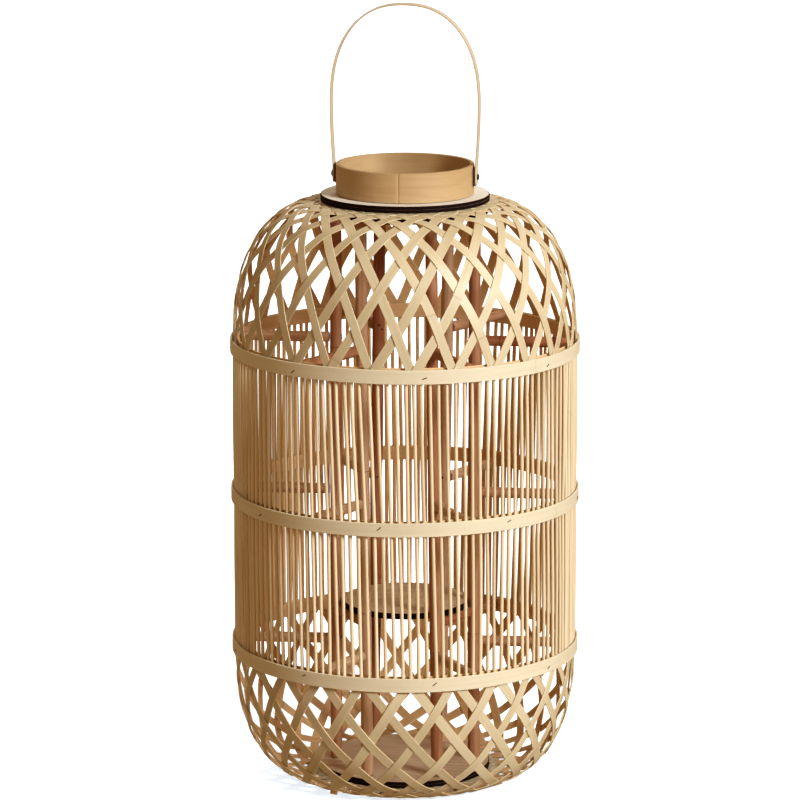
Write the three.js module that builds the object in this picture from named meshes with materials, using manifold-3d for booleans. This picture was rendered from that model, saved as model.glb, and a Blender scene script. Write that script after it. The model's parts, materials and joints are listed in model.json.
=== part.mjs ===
// Woven bamboo floor lantern with a bail handle, in millimetres, +Z up.
// The origin is the centre of the base, on the surface that the lantern stands on.
// X runs along the handle's pivot axis.
import * as THREE from 'three';
import { mergeVertices } from 'three/addons/utils/BufferGeometryUtils.js';
import Module from 'manifold-3d';

const wasm = await Module();
wasm.setup();

// ---- Driving dimensions ----
const GAP = 0.3;                 // clearance wherever two pieces would touch
const ROUND_SIDES = 48;          // sides of every large round piece
const DOWEL_SIDES = 12;          // sides of a post, spoke or rung

// Hoops: an outer and an inner band at each level, with the sticks and strips between them
const HOOP_RADIUS = 175;         // outside of the outer band
const HOOP_HEIGHT = 14;
const OUTER_BAND = 2.2;          // thickness of the outer band
const INNER_BAND = 2;            // thickness of the inner band
const HOLLOW = 4;                // room between the two bands
const LEVELS = [
  { name: 'lower', z: 135.8, spokeZ: 135.8 },
  { name: 'middle', z: 291.4, spokeZ: 291 },
  { name: 'upper', z: 442.8, spokeZ: 446.5 },
];
const LOWER_Z = LEVELS[0].z;
const UPPER_Z = LEVELS[2].z;

// Stick screen: sticks joined in equal panels at the hoops
const STICK_COUNT = 132;
const PANEL_COUNT = 12;
const STICK_SLOT = 4.3;          // clear width between two sticks
const SLOT_HIDDEN = 2;           // how far a slot runs in behind a hoop
const SLOT_REACH = 12;           // depth of the cut that makes a slot

// Woven shoulder and bowl: each outline is a superellipse
const WEAVE = 1.2;               // thickness of the shell
const CURVE_POWER = 2.3;
const SHOULDER_THROAT = 78;      // inner edge under the flange
const SHOULDER_START = 449.5;    // where the outline leaves the vertical
const BOWL_THROAT = 95;          // where the bowl reaches the floor
const BOWL_START = 128;
const BOWL_LOW = 0.5;            // lowest point of the bowl
const WEAVE_STEPS = 9;

// Plywood base, candle plate, flange and head ring
const PLY = 3;                   // one sheet
const BASE_RADIUS = 86;
const BASE_TOP = 10.7;
const FOOT = { inner: 60, outer: 84, thick: 2 };
const LIP = { inner: 76, outer: 87 };            // the bowl's edge, held over the foot ring
const CANDLE_RADIUS = 63.2;
const CANDLE_TOP = 179;
const CANDLE_THICK = 6;
const FLANGE_RADIUS = 84;
const FLANGE_INNER = 64.6;
const FLANGE_TOP = 594;
const HEAD_RING = 9;             // thickness of the ring that the posts hold up, under the weave's edge
const NECK_DROP = 0.7;           // how far the weave has come down by the ring's outer edge

// Round bamboo frame
const POST_COUNT = 6;
const POST_CIRCLE = 70;          // radius of the circle of post centres
const POST_RADIUS = 6.2;
const POST_TURN = 7.5;           // degrees from X to the first post's foot
const POST_TWIST = -6.4;         // how far round each head stands from its foot
const SPOKE_RADIUS = 5.4;
const RUNG_RADIUS = 5;
const RUNG_STARTS = [1, 3, 5];   // each rung joins this post to the next one

// Collar and handle
const COLLAR_RADIUS = 68.8;
const COLLAR_INNER = 64.6;
const COLLAR_TOP = 624;
const PIVOT_Z = 612;
const TAB = { thick: 1.2, width: 11, low: 603, high: 622 };
const STRIP = { thick: 2, width: 10, low: 603.5 };
const ARCH_START = 683.5;        // where the legs turn into the arch
const ARCH_TOP = 783;            // outside of the arch
const ARCH_HALF_WIDTH = 75.3;    // outside of the arch
const LEG_STEPS = 5;
const ARCH_STEPS = 24;
const RIVET = { shank: 1.7, head: 3.2, dome: 1.7, clinch: 2.8, clinchThick: 1 };
const DOME_EDGE = { radius: 2.56, rise: 1.1 };   // the one step between the rivet head's rim and top
const DRILL_MARGIN = 2;          // how far a drill passes the pieces that it goes through

// ---- Materials ----
const finish = (color, roughness, metalness = 0) => (
  new THREE.MeshStandardMaterial({ color, roughness, metalness })
);
const FINISHES = {
  strip: () => finish(0xdfc391, 0.55),
  band: () => finish(0xe3cb9b, 0.5),
  stick: () => finish(0xd9bc86, 0.55),
  ply: () => finish(0xd8c4a4, 0.7),
  dowel: () => finish(0xa8693f, 0.6),
  collar: () => finish(0xd6ae74, 0.45),
  handle: () => finish(0xd2b48c, 0.5),
  leather: () => finish(0x4a1f14, 0.7),
  rivet: () => finish(0x3a3534, 0.4, 0.9),
};

// ---- Helpers ----
const model = new THREE.Group();

function addPiece(name, geometry, material) {
  const piece = new THREE.Mesh(geometry, material);
  piece.name = name;
  model.add(piece);
  return piece;
}

const radians = THREE.MathUtils.degToRad;

// A profile of [radius, height] pairs turned about Z
function turned(profile, sides = ROUND_SIDES) {
  const points = profile.map(([radius, height]) => new THREE.Vector2(radius, height));
  return new THREE.LatheGeometry(points, sides).rotateX(Math.PI / 2);
}

function ring(inner, outer, low, high, sides = ROUND_SIDES) {
  return turned([[inner, low], [outer, low], [outer, high], [inner, high], [inner, low]], sides);
}

function disc(radius, low, high) {
  const geometry = new THREE.CylinderGeometry(radius, radius, high - low, ROUND_SIDES);
  return geometry.rotateX(Math.PI / 2).translate(0, 0, (low + high) / 2);
}

// A round bar between two points, made about the origin and then placed
function addBar(name, radius, start, end) {
  const along = end.clone().sub(start);
  const geometry = new THREE.CylinderGeometry(radius, radius, along.length(), DOWEL_SIDES);
  const bar = addPiece(name, geometry, FINISHES.dowel());
  bar.position.copy(start).add(end).multiplyScalar(0.5);
  bar.quaternion.setFromUnitVectors(new THREE.Vector3(0, 1, 0), along.normalize());
  return bar;
}

// Points of a quarter superellipse, from the side (r = centre + a) to the end (z = start + b)
function quarterCurve(centre, a, start, b, steps) {
  return Array.from({ length: steps + 1 }, (_, i) => {
    const angle = (i / steps) * (Math.PI / 2);
    const across = Math.max(Math.cos(angle), 0) ** (2 / CURVE_POWER);
    const up = Math.sin(angle) ** (2 / CURVE_POWER);
    return [centre + a * across, start + b * up];
  });
}

function toSolid(geometry) {
  const bare = new THREE.BufferGeometry();
  bare.setAttribute('position', geometry.getAttribute('position'));
  bare.setIndex(geometry.getIndex());
  const merged = mergeVertices(bare, 1e-3);
  const mesh = new wasm.Mesh({
    numProp: 3,
    vertProperties: merged.getAttribute('position').array,
    triVerts: new Uint32Array(merged.getIndex().array),
  });
  return new wasm.Manifold(mesh);
}

function toGeometry(solid) {
  const mesh = solid.getMesh();
  const geometry = new THREE.BufferGeometry();
  geometry.setAttribute('position', new THREE.BufferAttribute(mesh.vertProperties, 3));
  geometry.setIndex(new THREE.BufferAttribute(mesh.triVerts, 1));
  geometry.computeVertexNormals();
  return geometry;
}

// A drill along X at the handle's pivot height
function pivotDrill(lowX, highX) {
  const radius = RIVET.shank + GAP;
  const drill = new THREE.CylinderGeometry(radius, radius, highX - lowX, DOWEL_SIDES);
  return toSolid(drill.rotateZ(Math.PI / 2).translate((lowX + highX) / 2, 0, PIVOT_Z));
}

// ---- Base ----
const baseMiddle = BASE_TOP - PLY - GAP;
addPiece('base_ring', ring(FOOT.inner, FOOT.outer, 0, FOOT.thick), FINISHES.ply());
addPiece('base_plate_lower', disc(BASE_RADIUS, baseMiddle - PLY, baseMiddle), FINISHES.ply());
addPiece('base_plate_upper', disc(BASE_RADIUS, BASE_TOP - PLY, BASE_TOP), FINISHES.ply());

// ---- Round bamboo frame: posts, spokes, rungs and the candle plate ----
const flangeLow = FLANGE_TOP - 2 * PLY - GAP;
const headRingTop = flangeLow - WEAVE - NECK_DROP - 2 * GAP;
const headRingLow = headRingTop - HEAD_RING;
const footZ = BASE_TOP + GAP;
const headZ = headRingLow - GAP;

// A place in line with a post at this height, for the posts lean a little way round
function atPost(index, radius, z) {
  const share = (z - footZ) / (headZ - footZ);
  const angle = radians(POST_TURN + POST_TWIST * share + (index * 360) / POST_COUNT);
  return new THREE.Vector3(radius * Math.cos(angle), radius * Math.sin(angle), z);
}

function addPosts() {
  for (let i = 0; i < POST_COUNT; i += 1) {
    const foot = atPost(i, POST_CIRCLE, footZ);
    const head = atPost(i, POST_CIRCLE, headZ);
    addBar(`post_${i + 1}`, POST_RADIUS, foot, head);
  }
}

const innerBandOuter = HOOP_RADIUS - OUTER_BAND - HOLLOW - 2 * GAP;
const innerBandInner = innerBandOuter - INNER_BAND;
const FACET_LOSS = 0.4;          // how far a flat of the band stands inside its corners

function addSpokes() {
  const near = POST_CIRCLE + POST_RADIUS + GAP;
  const far = innerBandInner - FACET_LOSS - GAP;
  for (const level of LEVELS) {
    for (let i = 0; i < POST_COUNT; i += 1) {
      const start = atPost(i, near, level.spokeZ);
      const end = atPost(i, far, level.spokeZ);
      addBar(`spoke_${level.name}_${i + 1}`, SPOKE_RADIUS, start, end);
    }
  }
}

function addRungs() {
  const z = CANDLE_TOP - CANDLE_THICK - GAP - RUNG_RADIUS;
  for (const first of RUNG_STARTS) {
    const a = atPost(first, POST_CIRCLE, z);
    const b = atPost(first + 1, POST_CIRCLE, z);
    const inset = b.clone().sub(a).setLength(POST_RADIUS + GAP);
    addBar(`rung_${(first + 1) / 2}`, RUNG_RADIUS, a.add(inset), b.sub(inset));
  }
}

addPosts();
addSpokes();
addRungs();
const candleDisc = disc(CANDLE_RADIUS, CANDLE_TOP - CANDLE_THICK, CANDLE_TOP);
addPiece('candle_plate', candleDisc, FINISHES.ply());

// ---- Hoops ----
const weaveRadius = HOOP_RADIUS - OUTER_BAND - GAP;

function addHoops() {
  for (const { name, z } of LEVELS) {
    const low = z - HOOP_HEIGHT / 2;
    const high = z + HOOP_HEIGHT / 2;
    const outer = ring(HOOP_RADIUS - OUTER_BAND, HOOP_RADIUS, low, high);
    const inner = ring(innerBandInner, innerBandOuter, low, high);
    addPiece(`outer_band_${name}`, outer, FINISHES.band());
    addPiece(`inner_band_${name}`, inner, FINISHES.band());
  }
}

addHoops();

// ---- Stick screen ----
// A panel is a sector of a many-sided tube: a stick stands at each corner, and a slot is cut in each side
function panelSolid() {
  const inner = innerBandOuter + GAP;
  const outer = (HOOP_RADIUS - OUTER_BAND) * Math.cos(Math.PI / ROUND_SIDES) - GAP;
  const low = LOWER_Z + GAP;
  const high = UPPER_Z - GAP;
  const tube = ring(inner, outer, low, high, STICK_COUNT);
  const halfAngle = Math.PI / PANEL_COUNT - GAP / (2 * outer);
  const reach = 2 * outer;
  const sector = new THREE.Shape();
  sector.moveTo(0, 0);
  sector.lineTo(reach, -reach * Math.tan(halfAngle));
  sector.lineTo(reach, reach * Math.tan(halfAngle));
  sector.closePath();
  const wedge = new THREE.ExtrudeGeometry(sector, { depth: high + GAP, bevelEnabled: false });
  let panel = toSolid(tube).intersect(toSolid(wedge));
  const perPanel = STICK_COUNT / PANEL_COUNT;
  const pitch = (2 * Math.PI) / STICK_COUNT;
  for (let bay = 0; bay < LEVELS.length - 1; bay += 1) {
    const slotLow = LEVELS[bay].z + HOOP_HEIGHT / 2 - SLOT_HIDDEN;
    const slotHigh = LEVELS[bay + 1].z - HOOP_HEIGHT / 2 + SLOT_HIDDEN;
    for (let i = 0; i <= perPanel; i += 1) {
      const cutter = new THREE.BoxGeometry(SLOT_REACH, STICK_SLOT, slotHigh - slotLow);
      cutter.translate((inner + outer) / 2, 0, (slotLow + slotHigh) / 2);
      cutter.rotateZ((i - perPanel / 2) * pitch);
      panel = panel.subtract(toSolid(cutter));
    }
  }
  return panel;
}

function addStickPanels() {
  const geometry = toGeometry(panelSolid());
  for (let i = 0; i < PANEL_COUNT; i += 1) {
    const panel = addPiece(`stick_panel_${i + 1}`, geometry, FINISHES.stick());
    panel.rotation.z = (i * 2 * Math.PI) / PANEL_COUNT;
  }
}

addStickPanels();

// ---- Woven shoulder and bowl ----
function shoulderProfile() {
  const a = weaveRadius - SHOULDER_THROAT;
  const b = flangeLow - GAP - SHOULDER_START;
  const outside = quarterCurve(SHOULDER_THROAT, a, SHOULDER_START, b, WEAVE_STEPS);
  const inside = quarterCurve(SHOULDER_THROAT, a - WEAVE, SHOULDER_START, b - WEAVE, WEAVE_STEPS);
  const foot = [weaveRadius - WEAVE, UPPER_Z + GAP];
  return [foot, [weaveRadius, UPPER_Z + GAP], ...outside, ...inside.reverse(), foot];
}

function bowlProfile() {
  const a = weaveRadius - BOWL_THROAT;
  const b = BOWL_LOW - BOWL_START;
  const outside = quarterCurve(BOWL_THROAT, a, BOWL_START, b, WEAVE_STEPS);
  const inside = quarterCurve(BOWL_THROAT, a - WEAVE, BOWL_START, b + WEAVE, WEAVE_STEPS);
  const head = [weaveRadius - WEAVE, LOWER_Z - GAP];
  const lipLow = FOOT.thick + GAP;
  const lipHigh = lipLow + WEAVE;
  const lip = [[LIP.outer, lipHigh], [LIP.inner, lipHigh], [LIP.inner, lipLow], [LIP.outer, lipLow]];
  const neck = [weaveRadius, LOWER_Z - GAP];
  return [head, ...inside, ...lip, ...outside.reverse(), neck, head];
}

addPiece('top_weave', turned(shoulderProfile()), FINISHES.strip());
addPiece('bottom_weave', turned(bowlProfile()), FINISHES.strip());

// ---- Head ring, flange and collar ----
function addNeckRing(name, low, high) {
  addPiece(name, ring(FLANGE_INNER, FLANGE_RADIUS, low, high), FINISHES.ply());
}

addNeckRing('head_ring', headRingLow, headRingTop);
addNeckRing('flange_lower_ring', flangeLow, flangeLow + PLY);
addNeckRing('flange_upper_ring', FLANGE_TOP - PLY, FLANGE_TOP);

function addCollar() {
  const wall = toSolid(ring(COLLAR_INNER, COLLAR_RADIUS, FLANGE_TOP + GAP, COLLAR_TOP));
  const reach = COLLAR_RADIUS + DRILL_MARGIN;
  const drill = pivotDrill(-reach, reach);
  addPiece('collar', toGeometry(wall.subtract(drill)), FINISHES.collar());
}

addCollar();

// ---- Handle, its tabs and rivets ----
const tabInner = COLLAR_RADIUS + GAP;
const stripInner = tabInner + TAB.thick + GAP;

function addTab(name, side) {
  const outline = new THREE.Shape();
  outline.moveTo(-TAB.width / 2, TAB.low);
  outline.lineTo(TAB.width / 2, TAB.low);
  outline.lineTo(TAB.width / 2, TAB.high);
  outline.lineTo(-TAB.width / 2, TAB.high);
  outline.closePath();
  const hole = new THREE.Path();
  hole.absarc(0, PIVOT_Z, RIVET.shank + GAP, 0, Math.PI * 2, true);
  outline.holes.push(hole);
  const options = { depth: TAB.thick, bevelEnabled: false, curveSegments: 8 };
  const geometry = new THREE.ExtrudeGeometry(outline, options);
  // The outline's plane becomes YZ, and its thickness runs along +X
  geometry.rotateX(Math.PI / 2).rotateZ(Math.PI / 2);
  const tab = addPiece(name, geometry, FINISHES.leather());
  tab.position.x = side > 0 ? tabInner : -tabInner - TAB.thick;
}

// The outside or inside edge of the handle, inset by a distance, from its right end to its left end
function handleEdge(inset) {
  const half = ARCH_HALF_WIDTH - inset;
  const foot = stripInner + STRIP.thick - inset;
  const rise = ARCH_TOP - inset - ARCH_START;
  const right = [[foot, STRIP.low], [foot, PIVOT_Z + STRIP.width]];
  for (let i = 1; i < LEG_STEPS; i += 1) {
    const share = i / LEG_STEPS;
    const z = PIVOT_Z + STRIP.width + share * (ARCH_START - PIVOT_Z - STRIP.width);
    right.push([foot + (half - foot) * Math.sin((share * Math.PI) / 2), z]);
  }
  const arch = quarterCurve(0, half, ARCH_START, rise, ARCH_STEPS / 2);
  const upRight = [...right, ...arch];
  const downLeft = upRight.slice(0, -1).reverse().map(([x, z]) => [-x, z]);
  return [...upRight, ...downLeft];
}

function addHandle() {
  const outline = [...handleEdge(0), ...handleEdge(STRIP.thick).reverse()];
  const shape = new THREE.Shape(outline.map(([x, z]) => new THREE.Vector2(x, z)));
  const options = { depth: STRIP.width, bevelEnabled: false };
  const bent = new THREE.ExtrudeGeometry(shape, options);
  bent.rotateX(Math.PI / 2).translate(0, STRIP.width / 2, 0);
  const reach = stripInner + STRIP.thick + DRILL_MARGIN;
  const solid = toSolid(bent).subtract(pivotDrill(-reach, reach));
  addPiece('handle', toGeometry(solid), FINISHES.handle());
}

function addRivet(name, side) {
  const clinchFace = COLLAR_INNER - 2 * GAP;
  const headFace = stripInner + STRIP.thick + GAP;
  const profile = [
    [0, clinchFace - RIVET.clinchThick],
    [RIVET.clinch, clinchFace - RIVET.clinchThick],
    [RIVET.clinch, clinchFace],
    [RIVET.shank, clinchFace],
    [RIVET.shank, headFace],
    [RIVET.head, headFace],
    [DOME_EDGE.radius, headFace + DOME_EDGE.rise],
    [0, headFace + RIVET.dome],
  ];
  const rivet = addPiece(name, turned(profile, DOWEL_SIDES), FINISHES.rivet());
  rivet.rotation.y = (side * Math.PI) / 2;
  rivet.position.z = PIVOT_Z;
}

addTab('tab_right', 1);
addTab('tab_left', -1);
addRivet('rivet_right', 1);
addRivet('rivet_left', -1);
addHandle();

export default model;
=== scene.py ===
import json
import math
import random

import bmesh
import bpy
from mathutils import Matrix, Vector


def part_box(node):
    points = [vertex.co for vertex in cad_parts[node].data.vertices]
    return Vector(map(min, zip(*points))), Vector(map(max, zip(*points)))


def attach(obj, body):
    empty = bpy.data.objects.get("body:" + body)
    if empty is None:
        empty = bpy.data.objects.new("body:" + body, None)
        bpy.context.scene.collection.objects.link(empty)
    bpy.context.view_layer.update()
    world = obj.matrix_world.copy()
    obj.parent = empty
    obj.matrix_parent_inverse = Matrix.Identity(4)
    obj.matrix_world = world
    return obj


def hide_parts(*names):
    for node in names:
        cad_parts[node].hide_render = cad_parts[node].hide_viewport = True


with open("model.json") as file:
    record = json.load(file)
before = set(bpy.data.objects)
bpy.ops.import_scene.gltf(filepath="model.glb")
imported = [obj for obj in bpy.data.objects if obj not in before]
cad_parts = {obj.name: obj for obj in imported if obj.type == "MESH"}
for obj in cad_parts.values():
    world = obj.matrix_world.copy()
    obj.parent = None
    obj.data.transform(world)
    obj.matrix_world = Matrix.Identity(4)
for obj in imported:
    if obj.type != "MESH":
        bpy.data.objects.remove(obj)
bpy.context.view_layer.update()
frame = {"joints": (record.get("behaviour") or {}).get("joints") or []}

MM = 0.001
TURN = 2 * math.pi
CLEAR = 0.05 * MM                # least room between two layers that lie against each other
NODE_GAP = 0.3 * MM              # room between two of the frame's nodes
rng = random.Random(11)


# ---- Places and sizes taken from the frame ----
def outer_radius(node):
    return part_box(node)[1].x


def low_z(node):
    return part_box(node)[0].z


def high_z(node):
    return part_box(node)[1].z


LEVELS = ("lower", "middle", "upper")
HOOP_RADIUS = outer_radius("outer_band_upper")
INNER_HOOP = outer_radius("inner_band_upper")
HOOP_LOW = {level: low_z(f"outer_band_{level}") for level in LEVELS}
HOOP_HIGH = {level: high_z(f"outer_band_{level}") for level in LEVELS}
HOOP_MID = {level: (HOOP_LOW[level] + HOOP_HIGH[level]) / 2 for level in LEVELS}
OUTER_BAND = 2.2 * MM
INNER_BAND = 2.0 * MM
LAYER_RADIUS = (HOOP_RADIUS - OUTER_BAND + INNER_HOOP) / 2     # middle of what the bands hold
STRIP_LINE = outer_radius("top_weave") - 1.2 * MM              # middle line of the woven strips at a hoop
POST_COUNT = 6
POST_CIRCLE = 70 * MM
POST_RADIUS = 6.2 * MM
SPOKE_RADIUS = 5.4 * MM
RUNG_RADIUS = 5 * MM
POST_TURN = math.radians(7.5)    # from X to the first post's foot
POST_TWIST = math.radians(-6.4)  # how far round its head stands from its foot
PIVOT = Vector(frame["joints"][0]["pos_m"])


# ---- Building meshes ----
class Build:
    """Points, faces and two values a point: where it lies in the fibre, and how near a rim it is."""

    def __init__(self):
        self.points, self.faces, self.grain, self.rim = [], [], [], []

    def point(self, place, grain, rim=0.0):
        self.points.append(Vector(place))
        self.grain.append(Vector(grain))
        self.rim.append(rim)
        return len(self.points) - 1

    def sweep(self, stops, tone):
        """A bar through stops of (centre, across, outward, section), a section being (across, out, rim) places."""
        along = 0.0
        first = len(self.points)
        sides = len(stops[0][3])
        for k, (centre, across, outward, section) in enumerate(stops):
            if k:
                along += (centre - stops[k - 1][0]).length
            reach = 0.0
            for j, (a, o, rim) in enumerate(section):
                if j:
                    reach += math.hypot(a - section[j - 1][0], o - section[j - 1][1])
                self.point(centre + across * a + outward * o, (along, reach, tone), rim)
        for k in range(len(stops) - 1):
            self.join(first + k * sides, first + (k + 1) * sides, sides)
        last = len(self.points) - sides
        self.faces.append(tuple(range(first, first + sides)))
        self.faces.append(tuple(range(last, last + sides)))

    def join(self, here, there, sides):
        """Faces between two rows of points."""
        for j in range(sides):
            n = (j + 1) % sides
            self.faces.append((here + j, here + n, there + n, there + j))

    def turn(self, profile, sides, grain, closed=True):
        """A profile of (radius, height, rim) turned about Z. A radius of 0 closes the form at a point."""
        rows = []
        for radius, height, rim in profile:
            count = 1 if radius == 0 else sides
            row = []
            for i in range(count):
                angle = TURN * i / sides
                place = Vector((radius * math.cos(angle), radius * math.sin(angle), height))
                row.append(self.point(place, grain(place), rim))
            rows.append(row)
        for k in range(len(rows) - (0 if closed else 1)):
            here, there = rows[k], rows[(k + 1) % len(rows)]
            for i in range(sides):
                n = (i + 1) % sides
                if len(here) == 1:
                    self.faces.append((here[0], there[n], there[i]))
                elif len(there) == 1:
                    self.faces.append((here[i], here[n], there[0]))
                else:
                    self.faces.append((here[i], here[n], there[n], there[i]))

    def blank(self, name):
        """The mesh, with its faces pointing out."""
        mesh = bpy.data.meshes.new(name)
        mesh.from_pydata([tuple(p) for p in self.points], [], self.faces)
        face_outward(mesh)
        return mesh

    def piece(self, name, material, body, slot, nodes=(), sharp=40):
        mesh = self.blank(name)
        put_values(mesh, self.grain, self.rim)
        finish_piece(name, mesh, material, body, nodes, sharp)


def add_object(name, data):
    thing = bpy.data.objects.new(name, data)
    bpy.context.scene.collection.objects.link(thing)
    return thing


def face_outward(mesh):
    form = bmesh.new()
    form.from_mesh(mesh)
    bmesh.ops.recalc_face_normals(form, faces=form.faces)
    form.to_mesh(mesh)
    form.free()


def put_values(mesh, grain, rim):
    for label, kind in (("grain", "FLOAT_VECTOR"), ("rim", "FLOAT")):
        mesh.attributes.new(label, kind, "POINT")
    mesh.attributes["grain"].data.foreach_set("vector", [value for g in grain for value in g])
    mesh.attributes["rim"].data.foreach_set("value", rim)


def finish_piece(name, mesh, material, body, nodes, sharp):
    mesh.materials.clear()
    mesh.materials.append(material)
    mesh.shade_smooth()
    mesh.set_sharp_from_angle(angle=math.radians(sharp))
    piece = add_object(name, mesh)
    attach(piece, body)
    if nodes:
        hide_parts(*nodes)


def strip_section(width, low, high, edge=0.3 * MM, crown=0.0):
    """A flat strip's section, from its outward face round to its back."""
    half = width / 2
    edge = min(edge, (high - low) * 0.35)
    return [
        (-half + edge, high, 0.7), (-half * 0.5, high + crown * 0.75, 0.0), (0, high + crown, 0.0),
        (half * 0.5, high + crown * 0.75, 0.0), (half - edge, high, 0.7), (half, high - edge, 1.0),
        (half, low + edge, 1.0), (half - edge, low, 0.7), (0, low, 0.0), (-half + edge, low, 0.7),
        (-half, low + edge, 1.0), (-half, high - edge, 1.0),
    ]


def round_section(radius, sides):
    return [
        (radius * math.cos(TURN * j / sides), radius * math.sin(TURN * j / sides), 0.0)
        for j in range(sides)
    ]


def polar(radius, angle, z):
    return Vector((radius * math.cos(angle), radius * math.sin(angle), z))


def square(places, k, outward):
    """At one of a row of places: the way across the row, and outward turned square to the row."""
    along = (places[min(k + 1, len(places) - 1)] - places[max(k - 1, 0)]).normalized()
    outward = (outward - along * outward.dot(along)).normalized()
    return along.cross(outward), outward


HOLE_SIDES = 32


def drill(mesh, centre, radius, length):
    """Cuts a round hole along X through a mesh."""
    cutter_mesh = bpy.data.meshes.new("cutter")
    form = bmesh.new()
    turned = Matrix.Translation(centre) @ Matrix.Rotation(math.pi / 2, 4, "Y")
    bmesh.ops.create_cone(form, cap_ends=True, segments=HOLE_SIDES, radius1=radius, radius2=radius,
                          depth=length, matrix=turned)
    form.to_mesh(cutter_mesh)
    form.free()
    cutter, blank = add_object("cutter", cutter_mesh), add_object("blank", mesh)
    cut = blank.modifiers.new("hole", "BOOLEAN")
    cut.operation, cut.object, cut.solver = "DIFFERENCE", cutter, "EXACT"
    bpy.context.view_layer.update()
    result = bpy.data.meshes.new_from_object(blank.evaluated_get(bpy.context.evaluated_depsgraph_get()))
    for item in (cutter, blank):
        bpy.data.objects.remove(item)
    return result


# ---- Materials ----
class Paint:
    """A node material under construction. Positions come from the mesh's grain and rim values."""

    def __init__(self, name):
        self.material = bpy.data.materials.new(name)
        self.material.use_nodes = True
        self.tree = self.material.node_tree
        self.shader = self.tree.nodes["Principled BSDF"]
        grain = self.tree.nodes.new("ShaderNodeAttribute")
        grain.attribute_name = "grain"
        self.grain = grain.outputs["Vector"]
        rim = self.tree.nodes.new("ShaderNodeAttribute")
        rim.attribute_name = "rim"
        self.rim = rim.outputs["Fac"]
        parts = self.tree.nodes.new("ShaderNodeSeparateXYZ")
        self.link(self.grain, parts.inputs[0])
        self.along, self.across, self.tone = parts.outputs

    def link(self, source, target):
        self.tree.links.new(source, target)

    def feed(self, value, socket):
        if isinstance(value, bpy.types.NodeSocket):
            self.link(value, socket)
        else:
            socket.default_value = value

    def math(self, operation, a, b=0.0, c=0.0):
        node = self.tree.nodes.new("ShaderNodeMath")
        node.operation = operation
        for value, socket in zip((a, b, c), node.inputs):
            self.feed(value, socket)
        return node.outputs[0]

    def blend(self, *parts):
        """The sum of values, each given with its weight."""
        terms = [self.math("MULTIPLY", value, weight) for value, weight in parts]
        total = terms[0]
        for term in terms[1:]:
            total = self.math("ADD", total, term)
        return total

    def scaled(self, scale, vector=None):
        node = self.tree.nodes.new("ShaderNodeVectorMath")
        node.operation = "MULTIPLY"
        self.feed(vector or self.grain, node.inputs[0])
        node.inputs[1].default_value = scale
        return node.outputs[0]

    def noise(self, scale, detail=3.0, rough=0.55, vector=None, distortion=0.0):
        """Noise over the grain values, each multiplied by its own scale."""
        node = self.tree.nodes.new("ShaderNodeTexNoise")
        self.link(self.scaled(scale, vector), node.inputs["Vector"])
        node.inputs["Scale"].default_value = 1.0
        node.inputs["Detail"].default_value = detail
        node.inputs["Roughness"].default_value = rough
        node.inputs["Distortion"].default_value = distortion
        return node.outputs["Fac"]

    def place(self):
        """The point's own position in the part, in metres."""
        return self.tree.nodes.new("ShaderNodeTexCoord").outputs["Object"]

    def ramp(self, value, *stops):
        node = self.tree.nodes.new("ShaderNodeValToRGB")
        self.feed(value, node.inputs[0])
        ramp = node.color_ramp
        while len(ramp.elements) < len(stops):
            ramp.elements.new(0.5)
        for element, (at, colour) in zip(ramp.elements, stops):
            element.position = at
            element.color = (*colour, 1.0)
        return node.outputs[0]

    def span(self, value, low, high, to_low=0.0, to_high=1.0):
        node = self.tree.nodes.new("ShaderNodeMapRange")
        for given, socket in zip((value, low, high, to_low, to_high), node.inputs):
            self.feed(given, socket)
        return node.outputs[0]

    def mix(self, share, a, b):
        node = self.tree.nodes.new("ShaderNodeMix")
        node.data_type = "RGBA"
        self.feed(share, node.inputs[0])
        for value, socket in ((a, node.inputs[6]), (b, node.inputs[7])):
            self.feed(value if isinstance(value, bpy.types.NodeSocket) else (*value, 1.0), socket)
        return node.outputs[2]

    def done(self, colour, rough, bump, depth, strength=0.6, **shader):
        self.link(colour, self.shader.inputs["Base Color"])
        self.link(rough, self.shader.inputs["Roughness"])
        node = self.tree.nodes.new("ShaderNodeBump")
        node.inputs["Strength"].default_value = strength
        node.inputs["Distance"].default_value = depth
        self.link(bump, node.inputs["Height"])
        self.link(node.outputs[0], self.shader.inputs["Normal"])
        for label, value in shader.items():
            self.shader.inputs[label.replace("_", " ")].default_value = value
        return self.material


PITH_WITH_PAINTED_GLOW = (0.72, 0.49, 0.25)         # colour of the inner side of the cane, painted brighter and more orange than it is as painted glow of light bouncing inside


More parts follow.
